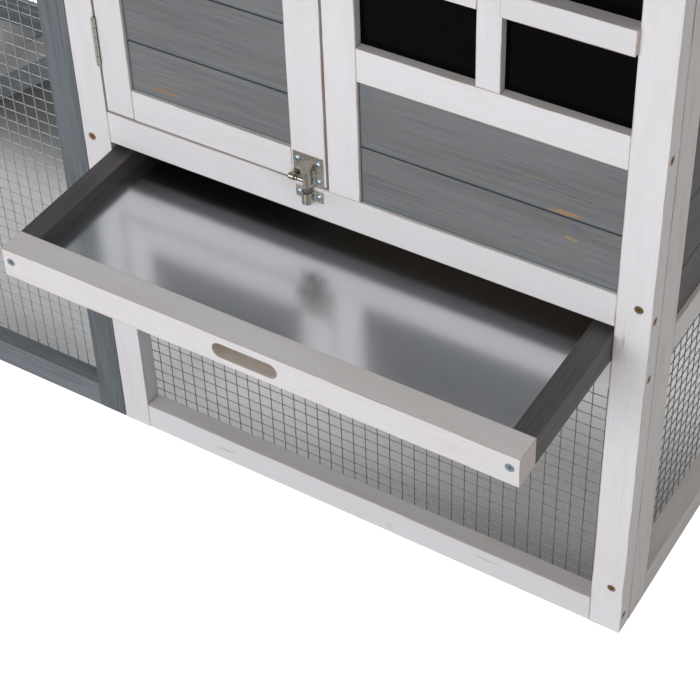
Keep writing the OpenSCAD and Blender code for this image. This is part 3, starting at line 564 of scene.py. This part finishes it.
# Nodes that look different from the rest of their material slot, most by painted shade or light on a copy of
# its finish
OWN_LOOK = {
    "side_stiles": WHITE_SHADED_SIDE, "side_rails": WHITE_SHADED_SIDE, "right_boards": GREY_SHADED_SIDE, "left_boards": GREY_SHADED_SIDE,
    "run_rails": RUN_RAIL_PAINTED_LIGHT, "ramp_rails": RUN_RAIL_PAINTED_LIGHT, "door_bolt": BOLT_STEEL_AND_SHADE, "run_door_bolt": BOLT_STEEL_AND_SHADE,
    "front_mesh": WIRE_IN_PAINTED_SHADE, "right_mesh": WIRE_IN_PAINTED_SHADE,
}
# How far arrises are rounded, in millimetres
ARRIS = {
    "white_paint": 0.9, "grey_paint": 0.3, "run_stain": 0.9,
    "tray_stain": 0.8, "ramp_wood": 0.8, "bare_wood": 0.8,
}
FELT_ARRIS, PANE_ARRIS = 1.2, 0.2

for name, obj in nodes.items():
    slot = slot_of[name]
    obj.data.materials.clear()
    obj.data.materials.append(OWN_LOOK.get(name) or FINISH[slot])
    if slot in WOODS:
        mark_grain(obj)
        soften(obj, ARRIS[slot])
soften(nodes["roof_felt"], FELT_ARRIS)
soften(nodes["window_pane"], PANE_ARRIS)

# ---------------------------------------------------------------- floor

# The mat's ends along X and Y, in the house's millimetres, and the floor's colours, with the painted shade on
# the mat inside the house's front and beside the ramp
MAT_X, MAT_Y = (-921, 522), (9, 501)
WHITE_FLOOR = (0.95, 0.95, 0.955)
MAT = (0.95, 0.95, 0.95)
MAT_HOUSE_FRONT_SHADE = (0.64, 0.63, 0.61)
MAT_RAMP_SHADOW = (0.12, 0.125, 0.13)
BOUNCE = (0.78, 0.775, 0.775)
FLOOR_GLOW = 0.85
FLOOR_SIZE = 24
BELOW_FEET = 0.0005


def studio_floor():
    """A white floor. The camera sees it bright, with a grey mat just within the hutch's own outline, painted
    shade on the mat inside the house's right front and beside the ramp, and a faint painted glow on the mat,
    stronger under the house.
    """
    g = Graph("studio_floor")
    position = g.split(g.add("ShaderNodeNewGeometry").outputs["Position"])

    def fade(axis, start, stop, low=0.0, high=1.0):
        """A change along X or Y between two places, in the house's millimetres."""
        ends = [house(at, at, 0)[axis] for at in (start, stop)]
        return g.step(position[axis], *ends, low, high)

    def between(axis, start, stop):
        ends = [house(at, at, 0)[axis] for at in (start, stop)]
        return g.times(g.math("GREATER_THAN", position[axis], ends[0]),
                       g.math("LESS_THAN", position[axis], ends[1]))

    inside = g.times(between(0, *MAT_X), between(1, *MAT_Y))
    # Painted shade on the mat: inside the house's right front below the tray, and much darker beside and under
    # the ramp
    house_front_shade = g.times(fade(0, 60, 420), fade(1, 150, 330, 1, 0))
    ramp_shadow = g.times(g.times(fade(0, -640, -470), fade(0, -60, 20, 1, 0)), fade(1, 225, 345, 0, 0.8))
    mat = g.mix(ramp_shadow, g.mix(house_front_shade, MAT, MAT_HOUSE_FRONT_SHADE), MAT_RAMP_SHADOW)
    bright = g.add("ShaderNodeBsdfDiffuse", {"Color": g.mix(inside, WHITE_FLOOR, mat)})

    # Painted light: the mat glows faintly, more under the house than in the run, and not in the painted shade
    # below the tray
    painted_glow = g.times(fade(0, -140, 10, 0.02, 0.15), g.minus(1.0, house_front_shade))
    strength = g.plus(g.times(inside, painted_glow), g.math("MULTIPLY_ADD", inside, -FLOOR_GLOW, FLOOR_GLOW))
    glow = g.add("ShaderNodeEmission", {"Color": (1.0, 1.0, 1.0), "Strength": strength})
    seen = g.add("ShaderNodeAddShader", {0: bright.outputs[0], 1: glow.outputs[0]})
    bounced = g.add("ShaderNodeBsdfDiffuse", {"Color": BOUNCE})
    from_camera = g.add("ShaderNodeLightPath").outputs["Is Camera Ray"]
    by_ray = {0: from_camera, 1: bounced.outputs[0], 2: seen.outputs[0]}
    pick = g.add("ShaderNodeMixShader", by_ray)
    g.add("ShaderNodeOutputMaterial", {0: pick.outputs[0]})
    return g.material


bpy.ops.mesh.primitive_plane_add(size=FLOOR_SIZE, location=(0, 0, -BELOW_FEET))
floor = bpy.context.object
floor.name = "studio_floor"
floor.data.materials.append(studio_floor())

# ---------------------------------------------------------------- light

SKY = 0.43

scene = bpy.context.scene
world = bpy.data.worlds.new("studio")
scene.world = world
world.use_nodes = True
backdrop = world.node_tree.nodes["Background"]
backdrop.inputs["Color"].default_value = (1, 1, 1, 1)
backdrop.inputs["Strength"].default_value = SKY

# Name, place in the house's millimetres, size in metres, watts
LAMPS = [
    ("key", (-500, -3500, 1250), 2.4, 77),
    ("top", (0, 300, 3600), 2.5, 7.5),
    ("back", (300, 4200, 1500), 2.4, 24),
    ("side", (3600, 300, 2500), 2.4, 8),
]
LIT = house(265, 0, 330)
for name, place, size, watts in LAMPS:
    lamp = bpy.data.lights.new(name, "AREA")
    lamp.shape = "SQUARE"
    lamp.size = size
    lamp.energy = watts
    lamp_object = bpy.data.objects.new(name, lamp)
    lamp_object.location = house(*place)
    lamp_object.rotation_euler = (LIT - house(*place)).to_track_quat("-Z", "Y").to_euler()
    scene.collection.objects.link(lamp_object)

# ---------------------------------------------------------------- camera

# The view as fitted to the house: place in the house's millimetres, and the view's own axes
PLACE = (902.04, -988.17, 1327.28)
RIGHT = Vector((0.8433, 0.535499, -0.045677))
DOWN = Vector((0.329351, -0.582074, -0.74345))
AHEAD = Vector((-0.424704, 0.611907, -0.66723))
# Focal length and shift of the centre, in pixels of a square image of this width
IMAGE, FOCAL, SHIFT = 700, 1897.76, 50
SENSOR = 36         # millimetres
NEAR, FAR = 0.05, 60

camera = bpy.data.cameras.new("camera")
camera.sensor_width = SENSOR
camera.lens = FOCAL / IMAGE * SENSOR
camera.shift_x = SHIFT / IMAGE
camera.shift_y = -SHIFT / IMAGE
camera.clip_start, camera.clip_end = NEAR, FAR
camera_object = bpy.data.objects.new("camera", camera)
turn = Matrix((RIGHT, -DOWN, -AHEAD)).transposed()
camera_object.matrix_world = Matrix.Translation(house(*PLACE)) @ turn.to_4x4()
scene.collection.objects.link(camera_object)
scene.camera = camera_object
scene.view_settings.view_transform = "Standard"
